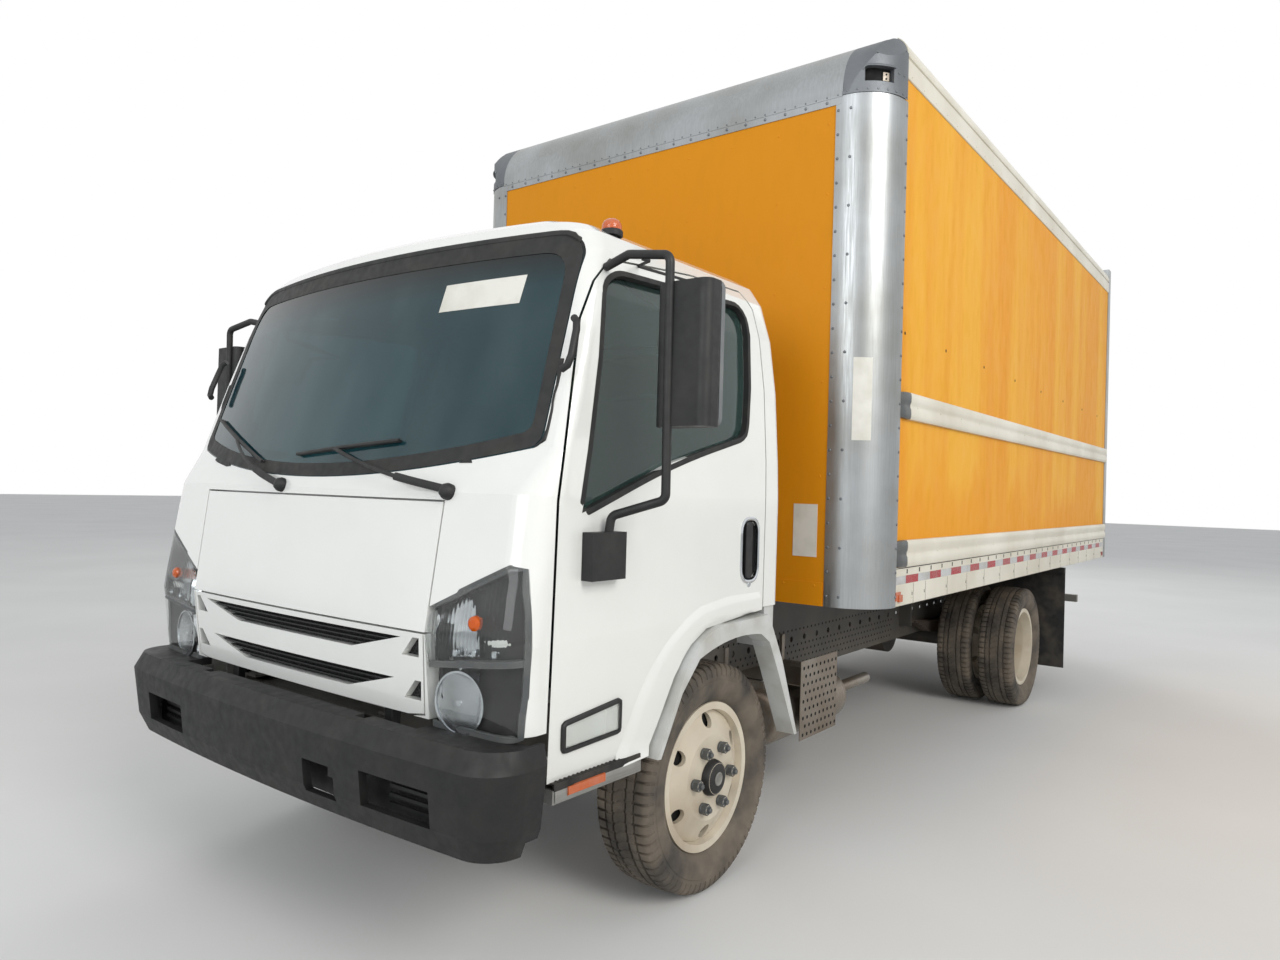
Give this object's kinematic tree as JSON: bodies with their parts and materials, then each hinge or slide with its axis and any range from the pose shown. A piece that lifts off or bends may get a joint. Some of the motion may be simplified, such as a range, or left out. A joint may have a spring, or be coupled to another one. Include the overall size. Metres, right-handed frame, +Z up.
{
  "type": "box truck",
  "caption": "Cab-over box truck with a tilting cab, hinged doors, a front service lid and a closed aluminium van body.",
  "frame": {"origin": "on the ground, on the centre line, under the middle of the overall length", "axes": "+X towards the front bumper, +Y to the driver's side, +Z up"},
  "size_m": [7.3298, 2.642, 3.418],
  "materials": {
    "frame_paint": "satin black",
    "axle_iron": "dull",
    "spring_steel": "dull",
    "engine_iron": "dull",
    "raw_steel": "heat stained",
    "tank_metal": "satin",
    "bare_aluminium": "satin",
    "cast_grey": "matt",
    "body_yellow": "faded gloss",
    "rail_cream": "satin",
    "cab_white": "gloss",
    "door_white": "gloss",
    "wheel_cream": "gloss",
    "black_plastic": "matt",
    "grey_plastic": "matt",
    "flare_grey": "satin",
    "lamp_amber": "gloss",
    "lamp_red": "gloss",
    "lamp_lens": "clear",
    "cab_glass": "clear",
    "floor_wood": "oiled",
    "tyre_rubber": "matt",
    "flap_rubber": "matt",
    "seat_fabric": "matt"
  },
  "bodies": {
    "chassis": {"frame_rails": "frame_paint", "cross_members": "frame_paint", "front_axle": "axle_iron", "rear_axle": "axle_iron", "leaf_springs": "spring_steel", "engine": "engine_iron", "radiator": "bare_aluminium", "exhaust": "raw_steel", "fuel_tank": "tank_metal", "battery_box": "black_plastic", "front_bumper": "black_plastic", "rear_bumper": "frame_paint", "mud_flaps": "flap_rubber", "box_sills": "frame_paint", "box_bearers": "frame_paint", "box_floor": "floor_wood", "box_side_walls": "body_yellow", "box_front_wall": "body_yellow", "box_nose": "bare_aluminium", "corner_caps": "cast_grey", "box_roof": "bare_aluminium", "rear_frame": "bare_aluminium", "rollup_door": "door_white", "side_rails": "rail_cream", "box_lamps": "lamp_amber", "tail_lamps": "lamp_red"},
    "cab": {"cab_shell": "cab_white", "cab_glass": "cab_glass", "grille": "cab_white", "grille_mesh": "black_plastic", "headlamps": "lamp_lens", "roof_lamps": "lamp_amber", "wipers": "black_plastic", "steps": "bare_aluminium", "fender_flares": "flare_grey", "seats": "seat_fabric", "dashboard": "grey_plastic"},
    "lid": {"front_lid": "cab_white"},
    "left_door": {"door_left": "cab_white", "door_glass_left": "cab_glass", "mirror_left": "black_plastic"},
    "right_door": {"door_right": "cab_white", "door_glass_right": "cab_glass", "mirror_right": "black_plastic"},
    "hand_wheel": {"steering_wheel": "black_plastic"},
    "left_knuckle": {"knuckle_left": "axle_iron"},
    "right_knuckle": {"knuckle_right": "axle_iron"},
    "track_rod": {"tie_rod": "axle_iron"},
    "front_wheel_left": {"tyre_front_left": "tyre_rubber", "rim_front_left": "wheel_cream"},
    "front_wheel_right": {"tyre_front_right": "tyre_rubber", "rim_front_right": "wheel_cream"},
    "rear_wheels_left": {"tyres_rear_left": "tyre_rubber", "rims_rear_left": "wheel_cream"},
    "rear_wheels_right": {"tyres_rear_right": "tyre_rubber", "rims_rear_right": "wheel_cream"}
  },
  "joints": [
    {"name": "cab_tilt", "type": "hinge", "parent": "chassis", "child": "cab", "pos_m": [3.575, 0, 0.62], "axis": [0, 1, 0], "range_deg": [0, 45]},
    {"name": "lid_hinge", "type": "hinge", "parent": "cab", "child": "lid", "pos_m": [3.515, 0, 1.376], "axis": [0, -1, 0], "range_deg": [0, 60]},
    {"name": "door_hinge_left", "type": "hinge", "parent": "cab", "child": "left_door", "pos_m": [3.39, 1.009, 1], "axis": [0, 0, -1], "range_deg": [0, 70]},
    {"name": "door_hinge_right", "type": "hinge", "parent": "cab", "child": "right_door", "pos_m": [3.39, -1.009, 1], "axis": [0, 0, 1], "range_deg": [0, 70]},
    {"name": "steering", "type": "hinge", "parent": "cab", "child": "hand_wheel", "pos_m": [2.985, 0.46, 1.372], "axis": [-0.4226, 0, 0.9063], "range_deg": [-608, 608]},
    {"name": "steer_left", "type": "hinge", "parent": "chassis", "child": "left_knuckle", "pos_m": [2.465, 0.7, 0.405], "axis": [0, 0, 1], "range_deg": [-38, 38]},
    {"name": "steer_right", "type": "hinge", "parent": "chassis", "child": "right_knuckle", "pos_m": [2.465, -0.7, 0.405], "axis": [0, 0, 1], "range_deg": [-38, 38]},
    {"name": "tie_rod_pin", "type": "hinge", "parent": "left_knuckle", "child": "track_rod", "pos_m": [2.315, 0.7, 0.318], "axis": [0, 0, 1], "range_deg": [-38, 38]},
    {"name": "wheel_front_left", "type": "hinge", "parent": "left_knuckle", "child": "front_wheel_left", "pos_m": [2.465, 0.833, 0.405], "axis": [0, 1, 0], "continuous": true},
    {"name": "wheel_front_right", "type": "hinge", "parent": "right_knuckle", "child": "front_wheel_right", "pos_m": [2.465, -0.833, 0.405], "axis": [0, 1, 0], "continuous": true},
    {"name": "wheels_rear_left", "type": "hinge", "parent": "chassis", "child": "rear_wheels_left", "pos_m": [-1.345, 0.825, 0.405], "axis": [0, 1, 0], "continuous": true},
    {"name": "wheels_rear_right", "type": "hinge", "parent": "chassis", "child": "rear_wheels_right", "pos_m": [-1.345, -0.825, 0.405], "axis": [0, 1, 0], "continuous": true}
  ],
  "couplings": [
    {"joint": "steer_right", "follows": "steer_left", "ratio": 1},
    {"joint": "tie_rod_pin", "follows": "steer_left", "ratio": -1},
    {"joint": "steering", "follows": "steer_left", "ratio": 16}
  ]
}
